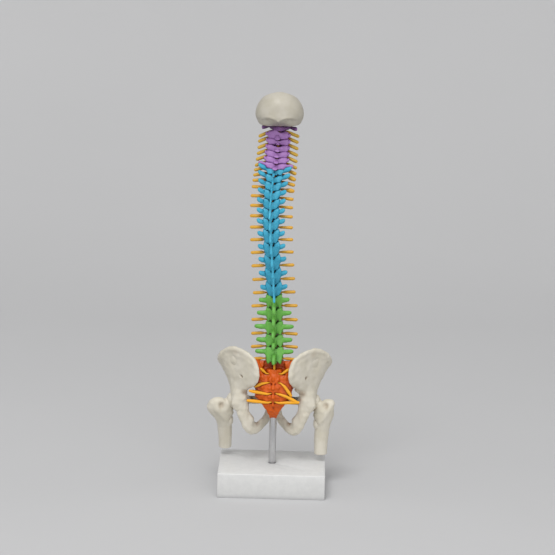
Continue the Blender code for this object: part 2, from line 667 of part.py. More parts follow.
def combine(target, bm, operation, crossing=False):
    """Join another solid to the target or cut it out of it, and drop that solid."""
    tool = finish("tool", bm, None)
    tool.hide_render = True
    tool.display_type = "WIRE"
    step = target.modifiers.new("step", "BOOLEAN")
    step.operation = operation
    step.solver = "EXACT"
    step.use_self = crossing
    step.object = tool
    bpy.context.view_layer.update()
    graph = bpy.context.evaluated_depsgraph_get()
    made = bpy.data.meshes.new_from_object(target.evaluated_get(graph))
    target.modifiers.clear()
    target.data = made
    bpy.data.objects.remove(tool, do_unlink=True)


def hip_sheet():
    """The right hip bone as a thin sheet of corners with a thickness at each."""
    bm = bmesh.new()
    depth = {}
    verts = {}
    for name, (x, y, z, thick) in HIP_CORNERS.items():
        verts[name] = bm.verts.new((x, y, z))
        depth[verts[name]] = thick
    for upper, lower in zip(HIP_ROWS, HIP_ROWS[1:]):
        for n in range(4):
            corners = (upper + str(n), upper + str(n + 1), lower + str(n + 1), lower + str(n))
            bm.faces.new([verts[c] for c in corners])
    for (a, b), (c, d) in zip(HIP_STRIP, HIP_STRIP[1:]):
        bm.faces.new((verts[a], verts[b], verts[d], verts[c]))
    return bm, depth


def thicken(bm, depth):
    """Turn a sheet into a closed solid, half of each corner's thickness to either side."""
    bmesh.ops.recalc_face_normals(bm, faces=bm.faces)
    bm.normal_update()
    solid = bmesh.new()
    pairs = {}
    for vert in bm.verts:
        offset = vert.normal * depth[vert] / 2
        pairs[vert] = (solid.verts.new(vert.co + offset), solid.verts.new(vert.co - offset))
    for face in bm.faces:
        solid.faces.new([pairs[v][0] for v in face.verts])
        solid.faces.new([pairs[v][1] for v in reversed(face.verts)])
    for edge in bm.edges:
        if len(edge.link_faces) == 1:
            a, b = edge.verts
            solid.faces.new((pairs[a][0], pairs[b][0], pairs[b][1], pairs[a][1]))
    bm.free()
    return solid


def smooth_solid(bm, levels):
    """The rounded form of a coarse solid."""
    rough = finish("rough", bm, None)
    step = rough.modifiers.new("round", "SUBSURF")
    step.levels = levels
    step.render_levels = levels
    bpy.context.view_layer.update()
    graph = bpy.context.evaluated_depsgraph_get()
    made = bpy.data.meshes.new_from_object(rough.evaluated_get(graph))
    out = bmesh.new()
    out.from_mesh(made)
    bmesh.ops.scale(out, vec=(1 / METRES,) * 3, verts=out.verts)
    bpy.data.objects.remove(rough, do_unlink=True)
    bpy.data.meshes.remove(made)
    return out


def mirrored(bm, side):
    if side < 0:
        bmesh.ops.scale(bm, vec=(-1, 1, 1), verts=bm.verts)
        bmesh.ops.reverse_faces(bm, faces=bm.faces)
    return bm


def ball(radius, centre):
    """A round ball with its poles on the hip's turning line."""
    bm = bmesh.new()
    bmesh.ops.create_uvsphere(bm, u_segments=18, v_segments=9, radius=radius)
    bm.transform(Matrix.Rotation(math.pi / 2, 4, "Y"))
    bmesh.ops.translate(bm, vec=centre, verts=bm.verts)
    return bm


def hip_bone(name, side, look, extra=0.0):
    bm, depth = hip_sheet()
    solid = smooth_solid(thicken(bm, depth), 1)
    if extra:
        solid.normal_update()
        for vert in solid.verts:
            vert.co += vert.normal * extra
    bone = finish(name, mirrored(solid, side), look)
    socket_x = HIP_X - HEAD_RADIUS - SOCKET_FIT
    if extra:
        return bone
    combine(bone, ball(HEAD_RADIUS + SOCKET_FIT, (side * HIP_X, HIP_Y, HIP_Z)), "DIFFERENCE")
    hole = rod_along("X", (side * (socket_x - 8), HIP_Y, HIP_Z), (side * HIP_X, HIP_Y, HIP_Z),
                     PIN_RADIUS + PIN_FIT, 12)
    combine(bone, hole, "DIFFERENCE")
    seat_x = socket_x - SOCKET_WALL
    recess = rod_along("X", (side * (seat_x - 12), HIP_Y, HIP_Z), (side * seat_x, HIP_Y, HIP_Z),
                       PIN_HEAD_RADIUS + PIN_FIT, 14)
    combine(bone, recess, "DIFFERENCE")
    combine(bone, box((-side * 9.85, HIP_Y + 14, 85), (20, 40, 40)), "DIFFERENCE")
    wide = rod_along("X", (side * SCREW_SEAT_X, SCREW_Y, SCREW_Z), (side * 50, SCREW_Y, SCREW_Z),
                     SCREW_HEAD_RADIUS + SCREW_FIT, 12)
    combine(bone, wide, "DIFFERENCE")
    thin = rod_along("X", (side * 10, SCREW_Y, SCREW_Z), (side * 40, SCREW_Y, SCREW_Z),
                     SCREW_RADIUS + SCREW_FIT, 10)
    combine(bone, thin, "DIFFERENCE")
    return bone


def lathe(profile, axis, sides, centre):
    """A closed turned solid from (place, radius) pairs along X or Z."""
    bm = bmesh.new()
    rings = []
    for place, radius in profile:
        ring = []
        for k in range(sides):
            angle = 2 * math.pi * k / sides
            a, b = radius * math.cos(angle), radius * math.sin(angle)
            spot = Vector((place, a, b)) if axis == "X" else Vector((a, b, place))
            ring.append(bm.verts.new(Vector(centre) + spot))
        rings.append(ring)
    for a, b in zip(rings, rings[1:]):
        for k in range(sides):
            m = (k + 1) % sides
            bm.faces.new((a[k], a[m], b[m], b[k]))
    bm.faces.new(rings[0])
    bm.faces.new(rings[-1])
    return bm


def oval_loft(stations, sides):
    """A closed tube of upright ovals: x, y, z of each middle and its two radii."""
    bm = bmesh.new()
    rings = []
    for x, y, z, wide, deep in stations:
        ring = []
        for k in range(sides):
            angle = 2 * math.pi * k / sides
            ring.append(bm.verts.new((x + wide * math.cos(angle), y + deep * math.sin(angle), z)))
        rings.append(ring)
    for a, b in zip(rings, rings[1:]):
        for k in range(sides):
            m = (k + 1) % sides
            bm.faces.new((a[k], a[m], b[m], b[k]))
    bm.faces.new(rings[0])
    bm.faces.new(rings[-1])
    return bm


def lump(radii, centre, wide=10, high=6):
    bm = bmesh.new()
    bmesh.ops.create_uvsphere(bm, u_segments=wide, v_segments=high, radius=1.0)
    bmesh.ops.scale(bm, vec=radii, verts=bm.verts)
    bmesh.ops.translate(bm, vec=centre, verts=bm.verts)
    return bm


def hip_turn(side, swing):
    """From the femur's own place, measured from the hip centre, to the model."""
    return (Matrix.Translation((side * HIP_X, HIP_Y, HIP_Z))
            @ Matrix.Rotation(math.radians(swing), 4, "X") @ Matrix.Diagonal((side, 1, 1, 1)))


def femur(name, side, swing, look):
    turn = hip_turn(side, swing)

    def placed(bm):
        bm.transform(turn)
        bmesh.ops.recalc_face_normals(bm, faces=bm.faces)
        return bm

    bone = finish(name, placed(oval_loft([(11.6, 0.0, -SHAFT_END, SHAFT_RADIUS, SHAFT_RADIUS * 0.97)]
                                         + list(FEMUR_STATIONS), 14)), look)
    neck = bmesh.new()
    add_tube(neck, FEMUR_NECK, FEMUR_NECK_RADII, 12)
    combine(bone, placed(neck), "UNION")
    combine(bone, placed(ball(HEAD_RADIUS, (0, 0, 0))), "UNION")
    combine(bone, placed(lump((4.4, 4.4, 6.0), (7.0, -4.0, -25.5))), "UNION")
    combine(bone, placed(lump((2.6, 3.4, 3.8), FOSSA_PLACE)), "DIFFERENCE")
    bore = rod_along("X", (-HEAD_RADIUS - 4, 0, 0), (PIN_TIP + SEAT, 0, 0), PIN_RADIUS + SEAT, 12)
    combine(bone, placed(bore), "DIFFERENCE")
    return bone


def hip_pin(name, side, swing, look):
    seat = -HEAD_RADIUS - SOCKET_FIT - SOCKET_WALL - SEAT
    bm = lathe([(seat - PIN_HEAD_THICK, PIN_HEAD_RADIUS * 0.75), (seat - PIN_HEAD_THICK * 0.6, PIN_HEAD_RADIUS),
                (seat, PIN_HEAD_RADIUS), (seat, PIN_RADIUS), (PIN_TIP - 0.8, PIN_RADIUS),
                (PIN_TIP, PIN_RADIUS * 0.6)], "X", 12, (0, 0, 0))
    bm.transform(hip_turn(side, swing))
    return finish(name, bm, look)


def sacral_screw(name, side, look):
    head = SCREW_SEAT_X + SEAT
    bm = lathe([(side * SCREW_TIP_X, SCREW_RADIUS * 0.4), (side * (SCREW_TIP_X + 1.6), SCREW_RADIUS),
                (side * head, SCREW_RADIUS), (side * head, SCREW_HEAD_RADIUS),
                (side * (head + SCREW_HEAD_THICK), SCREW_HEAD_RADIUS * 0.8)], "X", 10, (0, SCREW_Y, SCREW_Z))
    return finish(name, bm, look)


def support_rod(look):
    return finish("support_rod", lathe([(ROD_FOOT_Z, ROD_RADIUS - 0.5), (ROD_FOOT_Z + 0.5, ROD_RADIUS),
                                        (ROD_TOP_Z - 0.5, ROD_RADIUS), (ROD_TOP_Z, ROD_RADIUS - 0.5)],
                                       "Z", 16, (0, 0, 0)), look)


def base(look):
    bm = box((0, 0, BASE_HEIGHT / 2), (BASE_WIDTH, BASE_DEPTH, BASE_HEIGHT))
    edges = [e for e in bm.edges if max(v.co.z for v in e.verts) > BASE_HEIGHT / 2]
    bmesh.ops.bevel(bm, geom=edges, offset=BASE_EDGE, segments=2, affect="EDGES", profile=0.5)
    block = finish("base", bm, look)
    bore = rod_along("Z", (0, 0, ROD_FOOT_Z - SEAT), (0, 0, BASE_HEIGHT + 5), ROD_RADIUS + ROD_FIT, 16)
    combine(block, bore, "DIFFERENCE")
    return block


def skull_point(angle, share, inset):
    """A point of the skull piece: angle round from the back, share from the hole's edge to the rim."""
    x0, y0, z0 = SKULL_CENTRE
    back = 0.5 + 0.5 * math.cos(angle)
    rim = math.radians(SKULL_FRONT_RIM + (SKULL_BACK_RIM - SKULL_FRONT_RIM) * back ** 0.48)
    start = math.radians(19)
    polar = start + (rim - start) * share
    rise = SKULL_RISE if polar > math.pi / 2 else SKULL_FALL
    x = (SKULL_HALF_WIDTH - inset) * math.sin(polar) * math.sin(angle)
    y = -(SKULL_DEPTH - inset) * math.sin(polar) * math.cos(angle)
    z = -(rise - inset) * math.cos(polar)
    if inset == 0 and 0.9 < polar < 1.35 and back > 0.3:
        dent = math.sin((polar - 0.9) / 0.45 * math.pi) * abs(math.sin(2 * angle)) * 1.5
        y += dent
        z += dent * 0.6
    return Vector((x0 + x, y0 + y + 4.5 * max(0.0, 1 - polar / 1.2), z0 + z))


def skull(look):
    bm = bmesh.new()
    layers = []
    for inset in (0.0, SKULL_WALL):
        rows = []
        for share in SKULL_SHARES:
            rows.append([bm.verts.new(skull_point(2 * math.pi * k / SKULL_ANGLES, share, inset))
                         for k in range(SKULL_ANGLES)])
        layers.append(rows)
    outer, inner = layers
    last = len(SKULL_SHARES) - 1
    for k in range(SKULL_ANGLES):
        m = (k + 1) % SKULL_ANGLES
        for r in range(last):
            bm.faces.new((outer[r][k], outer[r][m], outer[r + 1][m], outer[r + 1][k]))
            bm.faces.new((inner[r][k], inner[r][m], inner[r + 1][m], inner[r + 1][k]))
        for r in (0, last):
            bm.faces.new((outer[r][k], outer[r][m], inner[r][m], inner[r][k]))
    return finish("occiput", bm, look)


def main():
    clear_scene()
    purple = material("neck_violet", (0.42, 0.22, 0.55), 0.5)
    blue = material("chest_blue", (0.02, 0.38, 0.62), 0.5)
    green = material("lumbar_green", (0.10, 0.45, 0.08), 0.5)
    orange = material("sacrum_orange", (0.80, 0.14, 0.02), 0.5)
    yellow = material("nerve_yellow", (0.75, 0.45, 0.03), 0.45)
    ivory = material("disc_ivory", (0.75, 0.70, 0.58), 0.5)
    bone = material("bone_cream", (0.76, 0.72, 0.60), 0.5)
    steel = material("rod_steel", (0.45, 0.45, 0.46), 0.3, 0.9)
    white = material("base_white", (0.80, 0.80, 0.79), 0.5)
    heights = level_heights()
    frames = [level_frame(z) for z in heights]
    levels = [Level(n, frames) for n in range(len(LEVELS))]
    below = Level(len(LEVELS) - 1, frames)
    below.frame = frames[-1]
    levels[-1].next = below
    for v in levels:
        look = purple if v.neck else (green if v.lumbar else blue)
        finish(LEVELS[v.index], vertebra(v) if v.index else atlas(v), look)
    for upper, lower in zip(levels[1:], levels[2:]):
        name = "disc_%s_%s" % (LEVELS[upper.index].split("_")[1], LEVELS[lower.index].split("_")[1])
        finish(name, disc(upper, lower), ivory)
    finish("disc_l5_s1", disc(levels[-1], None), ivory)
    cord, nerves = cord_solid(levels, 0.0)
    spinal = finish("spinal_cord", cord, yellow)
    combine(spinal, nerves, "UNION", True)
    sacrum = finish("sacrum_coccyx", sacrum_shell(), orange)
    combine(sacrum, box((0, NOTCH_Y - 15, NOTCH_Z + 10), (2 * NOTCH_HALF, 30, 20)), "DIFFERENCE")
    cord, nerves = cord_solid(levels, SEAT)
    combine(sacrum, cord, "DIFFERENCE")
    combine(sacrum, nerves, "DIFFERENCE", True)
    for side in SIDES:
        fat = hip_bone("fat", side, None, SEAT)
        bm = bmesh.new()
        bm.from_mesh(fat.data)
        bmesh.ops.scale(bm, vec=(1 / METRES,) * 3, verts=bm.verts)
        bpy.data.objects.remove(fat, do_unlink=True)
        combine(sacrum, bm, "DIFFERENCE")
        bore = rod_along("X", (side * (SCREW_TIP_X - SEAT), SCREW_Y, SCREW_Z), (side * 45, SCREW_Y, SCREW_Z),
                         SCREW_RADIUS + SCREW_FIT, 10)
        combine(sacrum, bore, "DIFFERENCE")
    combine(sacrum, rod_along("Z", (0, 0, 60), (0, 0, ROD_TOP_Z + SEAT), ROD_RADIUS + ROD_FIT, 16),
            "DIFFERENCE")
    for side, word, swing in zip(SIDES, ("left", "right"), (LEFT_SWING, RIGHT_SWING)):
        hip_bone("hip_bone_" + word, side, bone)
        femur("femur_" + word, side, swing, bone)
        hip_pin("hip_pin_" + word, side, swing, steel)
        sacral_screw("sacral_screw_" + word, side, steel)
    support_rod(steel)
    base(white)
    skull(bone)


main()
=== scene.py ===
import math

import bmesh
import bpy
import numpy as np
from mathutils import Matrix, Vector, noise


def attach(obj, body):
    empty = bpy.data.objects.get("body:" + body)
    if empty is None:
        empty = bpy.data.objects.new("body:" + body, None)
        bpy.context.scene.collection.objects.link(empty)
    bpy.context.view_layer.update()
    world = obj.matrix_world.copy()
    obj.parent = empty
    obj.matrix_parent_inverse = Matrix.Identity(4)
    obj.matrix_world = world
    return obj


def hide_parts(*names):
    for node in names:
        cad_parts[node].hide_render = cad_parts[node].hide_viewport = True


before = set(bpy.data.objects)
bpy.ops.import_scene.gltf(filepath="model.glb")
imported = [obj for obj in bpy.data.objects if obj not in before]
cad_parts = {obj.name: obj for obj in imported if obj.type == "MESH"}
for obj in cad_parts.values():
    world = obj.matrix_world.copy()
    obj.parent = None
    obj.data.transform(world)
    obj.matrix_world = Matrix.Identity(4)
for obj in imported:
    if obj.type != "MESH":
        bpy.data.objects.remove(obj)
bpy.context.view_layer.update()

MM = 0.001
SIDES = (-1, 1)
NECK = ["atlas_c1", "axis_c2"] + ["cervical_c%d" % n for n in range(3, 8)]
CHEST = ["thoracic_t%d" % n for n in range(1, 13)]
LUMBAR = ["lumbar_l%d" % n for n in range(1, 6)]

# Each leg's side of X, its word, and how far its thigh bone is swung as shown, in degrees
LEGS = ((-1, "left", 14), (1, "right", 0))

# The hip joint's centre: how far out, how far forward and how high, in millimetres
HIP_OUT, HIP_FORWARD, HIP_HEIGHT = 43, 13, 97

# Voxel sizes of the remade skins, in millimetres
FINE_CELL = 0.6
HIP_CELL = 0.7

# How strongly a smoothing step moves a vertex, and the step back that holds the size
SMOOTH_STEP, BACK_STEP = 0.6, -0.62

# The rod's outline as (height, radius) in millimetres, with chamfered ends, and its number of faces round
ROD_PROFILE = [(6, 3.5), (6.5, 4), (133.5, 4), (134, 3.5)]
ROD_FACES = 48

# The camera that matches the photograph: lengths in metres, angles in degrees, the lens in pixels
PICTURE_PIXELS = 555
LENS_PIXELS = 2163
CAMERA_AWAY, CAMERA_UP = 2.35, 0.755
CAMERA_AIM = (0.0012, 0, 0.2424)
CAMERA_TURN, CAMERA_ROLL = 0.8, 1.35
SENSOR_MM = 36

# The place the lights look at, in metres
LIGHT_AIM = (0, 0, 0.25)

# The backdrop, in metres: how far it reaches, where it starts to rise and in how wide a curve
SWEEP_REACH = 6.0
SWEEP_START = 0.8
SWEEP_CURVE = 1.2
SWEEP_STEPS = 12


# Materials

def new_material(name, roughness, metallic=0.0, coat=0.0):
    mat = bpy.data.materials.new(name)
    mat.use_nodes = True
    tree = mat.node_tree
    shader = tree.nodes["Principled BSDF"]
    shader.inputs["Roughness"].default_value = roughness
    shader.inputs["Metallic"].default_value = metallic
    shader.inputs["Coat Weight"].default_value = coat
    shader.inputs["Coat Roughness"].default_value = 0.25
    if not metallic:
        shader.inputs["Specular IOR Level"].default_value = 0.3
    return mat, tree, shader


def own_space(tree):
    """The object's own coordinates, in metres."""
    return tree.nodes.new("ShaderNodeTexCoord").outputs["Object"]


def own_axis(tree, axis):
    parts = tree.nodes.new("ShaderNodeSeparateXYZ")
    tree.links.new(own_space(tree), parts.inputs["Vector"])
    return parts.outputs[axis]


def grain(tree, scale):
    """Noise in the object's own space, as a plain value."""
    node = tree.nodes.new("ShaderNodeTexNoise")
    node.inputs["Scale"].default_value = scale
    node.inputs["Detail"].default_value = 3.0
    node.inputs["Roughness"].default_value = 0.6
    tree.links.new(own_space(tree), node.inputs["Vector"])
    return node.outputs["Fac"]


def spread(tree, value, low, high, to_low=0.0, to_high=1.0):
    """A smooth ramp of one value into another range."""
    node = tree.nodes.new("ShaderNodeMapRange")
    node.interpolation_type = "SMOOTHSTEP"
    node.inputs["From Min"].default_value = low
    node.inputs["From Max"].default_value = high
    node.inputs["To Min"].default_value = to_low
    node.inputs["To Max"].default_value = to_high
    tree.links.new(value, node.inputs["Value"])
    return node.outputs["Result"]


def mix(tree, fac, a, b):
    """A colour mix. a and b are sockets or plain colours."""
    node = tree.nodes.new("ShaderNodeMix")
    node.data_type = "RGBA"
    tree.links.new(fac, node.inputs["Factor"])
    for socket, value in ((node.inputs["A"], a), (node.inputs["B"], b)):
        if isinstance(value, bpy.types.NodeSocket):
            tree.links.new(value, socket)
        else:
            socket.default_value = (*value, 1.0)
    return node.outputs["Result"]


def bump(tree, shader, value, strength, distance):
    node = tree.nodes.new("ShaderNodeBump")
    node.inputs["Strength"].default_value = strength
    node.inputs["Distance"].default_value = distance
    tree.links.new(value, node.inputs["Height"])
    tree.links.new(node.outputs["Normal"], shader.inputs["Normal"])


def hollow_shade_mask(tree, distance, low, high):
    """A mask for painted shade: one in the open, less in hollows and between neighbours."""
    node = tree.nodes.new("ShaderNodeAmbientOcclusion")
    node.samples = 6
    node.inputs["Distance"].default_value = distance
    return spread(tree, node.outputs["AO"], low, high)


def plastic(name, light, hollow_shade, roughness=0.42, fine=0.12, reach=0.005):
    """Moulded coloured plastic: slightly mottled, with painted shade in its hollows and between neighbouring
    parts, darkening towards the hollow shade colour.
    """
    mat, tree, shader = new_material(name, roughness, coat=0.04)
    cloud = spread(tree, grain(tree, 160), 0.35, 0.65)
    soft = tuple(0.8 * a + 0.2 * b for a, b in zip(light, hollow_shade))
    face = mix(tree, cloud, soft, light)
    # Painted shade: hollows and places between neighbouring parts take the darker colour
    colour = mix(tree, hollow_shade_mask(tree, reach, 0.38, 1.0), hollow_shade, face)
    tree.links.new(colour, shader.inputs["Base Color"])
    bump(tree, shader, grain(tree, 900), fine, 0.0002)
    return mat


def nerve_plastic(name):
    """Soft plastic, plain yellow in the neck, deeper along the chest and warm orange behind the sacrum, with
    painted shade in its hollows and between the nerves.
    """
    mat, tree, shader = new_material(name, 0.4, coat=0.04)
    height = own_axis(tree, "Z")
    upper = mix(tree, spread(tree, height, 0.340, 0.375), (0.66, 0.35, 0.035), (0.60, 0.38, 0.05))
    light = mix(tree, spread(tree, height, 0.140, 0.155), (0.86, 0.39, 0.015), upper)
    # Painted shade: dark brown-orange in hollows and between neighbouring parts
    colour = mix(tree, hollow_shade_mask(tree, 0.006, 0.25, 0.95), (0.22, 0.08, 0.012), light)
    tree.links.new(colour, shader.inputs["Base Color"])
    bump(tree, shader, grain(tree, 700), 0.15, 0.0002)
    return mat


def spot(tree, centre, inner, outer):
    """One near a place, none further away, in millimetres."""
    node = tree.nodes.new("ShaderNodeVectorMath")
    node.operation = "DISTANCE"
    tree.links.new(own_space(tree), node.inputs[0])
    node.inputs[1].default_value = [c * MM for c in centre]
    return spread(tree, node.outputs["Value"], inner * MM, outer * MM, 1.0, 0.0)


def bone_plastic(name, shade_spots, level=1.0):
    """Off-white plastic with painted brown shade in its hollows. A shade spot is (centre, inner, outer,
    amount, colour) and paints shade round one place; a level below one darkens the whole colour as painted
    shade.
    """
    mat, tree, shader = new_material(name, 0.45, coat=0.04)
    cloud = spread(tree, grain(tree, 70), 0.35, 0.68)
    warm = [level * c for c in (0.60, 0.56, 0.46)]
    pale = [level * c for c in (0.66, 0.62, 0.53)]
    colour = mix(tree, cloud, warm, pale)
    # Painted shade: browner in hollows and between neighbouring parts
    colour = mix(tree, hollow_shade_mask(tree, 0.006, 0.15, 0.9), (0.30, 0.22, 0.14), colour)
    # Painted shade spots, mottled with noise
    for centre, inner, outer, amount, shade in shade_spots:
        fac = tree.nodes.new("ShaderNodeMath")
        fac.operation = "MULTIPLY"
        tree.links.new(spot(tree, centre, inner, outer), fac.inputs[0])
        tree.links.new(spread(tree, grain(tree, 220), 0.3, 0.6, 0.6 * amount, amount), fac.inputs[1])
        colour = mix(tree, fac.outputs["Value"], colour, shade)
    tree.links.new(colour, shader.inputs["Base Color"])
    bump(tree, shader, grain(tree, 420), 0.15, 0.0003)
    return mat


def bright_steel(name):
    mat, tree, shader = new_material(name, 0.28, metallic=1.0)
    colour = mix(tree, grain(tree, 300), (0.55, 0.55, 0.56), (0.66, 0.66, 0.67))
    tree.links.new(colour, shader.inputs["Base Color"])
    return mat


def paper_material(name):
    """Pale matt paper to the camera. Other rays meet dark ends far out at the sides, which edge the steel."""
    mat, tree, shader = new_material(name, 0.95)
    shader.inputs["Specular IOR Level"].default_value = 0.0
    away = tree.nodes.new("ShaderNodeMath")
    away.operation = "ABSOLUTE"
    tree.links.new(own_axis(tree, "X"), away.inputs[0])
    pale = mix(tree, grain(tree, 1.5), (0.50, 0.50, 0.505), (0.54, 0.54, 0.545))
    dark_ends = mix(tree, spread(tree, away.outputs["Value"], 1.3, 2.4), pale, (0.10, 0.10, 0.10))
    rays = tree.nodes.new("ShaderNodeLightPath")
    tree.links.new(mix(tree, rays.outputs["Is Camera Ray"], dark_ends, pale), shader.inputs["Base Color"])
    return mat


# Meshes taken from the frame and made finer

def cad_mesh(node):
    """The frame node's form as one welded mesh, in metres."""
    bm = bmesh.new()
    bm.from_mesh(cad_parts[node].data)
    bmesh.ops.remove_doubles(bm, verts=bm.verts, dist=2e-6)
    for layer in list(bm.loops.layers.uv):
        bm.loops.layers.uv.remove(layer)
    return bm


def linked_object(name, bm):
    """A smooth-shaded object made from a mesh under work, which is freed."""
    for face in bm.faces:
        face.smooth = True
        face.material_index = 0
    mesh = bpy.data.meshes.new(name)
    bm.to_mesh(mesh)
    bm.free()
    mesh.materials.clear()
    obj = bpy.data.objects.new(name, mesh)
    bpy.context.collection.objects.link(obj)
    return obj


def make_piece(bm, mat, node, body="model"):
    """The visible form of one frame node."""
    obj = linked_object("form_" + node, bm)
    obj.data.materials.append(mat)
    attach(obj, body)
    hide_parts(node)


def through_modifier(bm, kind, **settings):
    """The mesh after one modifier."""
    obj = linked_object("step", bm)
    step = obj.modifiers.new("step", kind)
    for key, value in settings.items():
        setattr(step, key, value)
    graph = bpy.context.evaluated_depsgraph_get()
    mesh = bpy.data.meshes.new_from_object(obj.evaluated_get(graph))
    out = bmesh.new()
    out.from_mesh(mesh)
    spent = obj.data
    bpy.data.objects.remove(obj, do_unlink=True)
    bpy.data.meshes.remove(spent)
    bpy.data.meshes.remove(mesh)
    return out


def rounded(bm, hold=0.8):
    """Round a coarse form without letting it shrink: its cage is first pushed out by what it would lose."""
    bmesh.ops.join_triangles(bm, faces=bm.faces, angle_face_threshold=math.radians(35),
                             angle_shape_threshold=math.radians(80))
    bm.verts.ensure_lookup_table()
    before = [v.co.copy() for v in bm.verts]
    trial = through_modifier(bm.copy(), "SUBSURF", levels=1)
    trial.verts.ensure_lookup_table()
    for n, place in enumerate(before):
        bm.verts[n].co = place + (place - trial.verts[n].co) * hold
    trial.free()
    return through_modifier(bm, "SUBSURF", levels=2)


# Sculpting: every place and length from here on is in millimetres

def soft_step(values, low, high):
    part = np.clip((values - low) / (high - low), 0, 1)
    return part * part * (3 - 2 * part)


def positions(bm):
    return np.array([v.co for v in bm.verts]) / MM


def positions_and_normals(bm):
    bm.normal_update()
    return positions(bm), np.array([v.normal for v in bm.verts])


def put_back(bm, places):
    for v, place in zip(bm.verts, places):
        v.co = place * MM


def neighbours(bm):
    """Each edge's two vertices, and how many neighbours each vertex has."""
    bm.verts.index_update()
    pairs = np.array([[v.index for v in e.verts] for e in bm.edges])
    return pairs, np.bincount(pairs.ravel(), minlength=len(bm.verts))[:, None]


def to_neighbours(places, pairs, count):
    """The way from each vertex to the middle of its neighbours."""
    total = np.zeros_like(places)
    np.add.at(total, pairs[:, 0], places[pairs[:, 1]])
    np.add.at(total, pairs[:, 1], places[pairs[:, 0]])
    return total / count - places


def relax(bm, rounds):
    """Smooth a mesh, with a counter-step that holds its size."""
    pairs, count = neighbours(bm)
    places = positions(bm)
    for _ in range(rounds):
        for weight in (SMOOTH_STEP, BACK_STEP):
            places = places + weight * to_neighbours(places, pairs, count)
    put_back(bm, places)


def remade(bm, cell, rounds):
    """An even, soft-edged skin over a form with sharp or messy faces."""
    out = through_modifier(bm, "REMESH", mode="VOXEL", voxel_size=cell * MM, adaptivity=0.0)
    relax(out, rounds)
    return out


def near(places, centre, radius):
    """One at a place, falling off like a bell. radius is a number, or one for each axis."""
    radii = np.array(radius if isinstance(radius, tuple) else (radius,) * 3, float)
    away = np.sum(((places - np.array(centre, float)) / radii) ** 2, axis=1)
    return np.exp(-1.5 * away)


def swell(bm, dots):
    """Raise or sink the skin round some places: (centre, radius, height)."""
    places, normals = positions_and_normals(bm)
    total = np.zeros(len(places))
    for centre, radius, height in dots:
        total += height * near(places, centre, radius)
    put_back(bm, places + normals * total[:, None])


def drag(bm, moves):
    """Draw out the faces that look one way: (centre, radius, way)."""
    places, normals = positions_and_normals(bm)
    total = np.zeros_like(places)
    for centre, radius, way in moves:
        way = np.array(way, float)
        facing = np.clip(normals @ (way / np.linalg.norm(way)) * 1.4, 0, 1)
        total += (near(places, centre, radius) * facing)[:, None] * way
    put_back(bm, places + total)


def soften(bm, centre, radius, rounds):
    """Smooth the skin down round one place."""
    pairs, count = neighbours(bm)
    places = positions(bm)
    away = np.linalg.norm(places - np.array(centre, float), axis=1)
    weight = (SMOOTH_STEP * (1 - soft_step(away, 0.6 * radius, radius)))[:, None]
    for _ in range(rounds):
        places = places + weight * to_neighbours(places, pairs, count)
    put_back(bm, places)


def uneven(bm, size, height, seed):
    """Slight waviness of a moulded, hand-finished face."""
    shift = Vector((seed * 3.7, seed * 1.3, seed * 2.1))
    for v in bm.verts:
        v.co += v.normal * (noise.noise(v.co / (size * MM) + shift) * height * MM)


def line(ends, radius, height):
    """Dots along a broken line, three to a stretch."""
    points = [np.array(p, float) for p in ends]
    out = []
    for a, b in zip(points, points[1:]):
        for n in range(3):
            out.append((a + (b - a) * n / 3, radius, height))
    out.append((points[-1], radius, height))
    return out


# Vertebrae and discs

CHEST_ARCH = {"taper": 0.27, "notch": 1.3, "apart": 4.2, "broad": 1.5, "ridge": 1.0}
LUMBAR_ARCH = {"taper": 0.1, "notch": 3.2, "apart": 4.2, "broad": 1.9, "ridge": 1.2}
# How far behind a vertebra's front face its arch begins, and from where it is shaped in full
ARCH_START, ARCH_FULL = 14.0, 17.0
# The dark opening between two neck vertebrae
NECK_OPENING = ((-2.0, -3.5, 391.8), (6.5, 7, 1.7), -2.0)
# How the first two vertebrae are drawn up
NECK_MOVES = {
    "atlas_c1": [((-2, -8, 410), (13, 12, 4), (0, 0, 1.8))],
    "axis_c2": [((-5.5, 0, 405.0), (3.0, 6, 3.5), (0, 0, 2.4)), ((-2.3, -1, 403.5), (4, 6, 4), (0, 0, 3.4))],
}


def side_tips(places):
    """The outermost points at the left and the right."""
    return places[np.argmin(places[:, 0])], places[np.argmax(places[:, 0])]


def carve_arch(bm, taper, notch, apart, broad, ridge):
    """Shape the arch behind the canal.

    Its lower corners are drawn in, its lower edge is notched on both sides of the spinous process, and
    that process is widened. taper and ridge are shares, the others are lengths.
    """
    places = positions(bm)
    left, right = side_tips(places)
    middle = (left + right) / 2
    front = places[:, 1].max()
    rear = soft_step(-places[:, 1], ARCH_START - front, ARCH_FULL - front)
    across = places[:, 0] - middle[0]
    side = np.abs(across)
    # The corners, from 1 to 8 below the side tips
    depth = soft_step(-places[:, 2], 1.0 - middle[2], 8.0 - middle[2])
    places[:, 0] -= across * taper * rear * (side < 13) * depth
    # The notches, in the lowest few millimetres of the arch
    arch = rear * (side > 1.2) * (side < 8)
    edge = places[arch > 0.9, 2].min()
    low = soft_step(-places[:, 2], -(edge + 3.6), -(edge + 0.4))
    places[:, 2] += notch * np.exp(-((side - apart) / broad) ** 2) * low * arch
    # The spinous process, within 3 of the middle
    places[:, 0] += across * ridge * rear * soft_step(3.0 - side, 0.0, 2.2)
    put_back(bm, places)


def lift_wings(bm, rise, start):
    """Slant the side processes up towards their tips."""
    places = positions(bm)
    middle = (places[:, 0].min() + places[:, 0].max()) / 2
    out = np.clip(np.abs(places[:, 0] - middle) - start, 0, None)
    places[:, 2] += rise * out
    put_back(bm, places)


def process_dots(bm, tip, root):
    """Knobs at the ends of a vertebra's processes, and thicker roots of the two side ones."""
    places = positions(bm)
    back = places[np.argmin(places[:, 1])]
    left, right = side_tips(places)
    middle = (left + right) / 2
    dots = [(back, 2.2, 0.3)]
    for end in (left, right):
        inside = end + (middle - end) * 0.35
        dots += [(end, 2.8, tip), (inside, 2.8, tip), (inside - np.array((0, 0, 1.8)), 3.8, root)]
    return dots


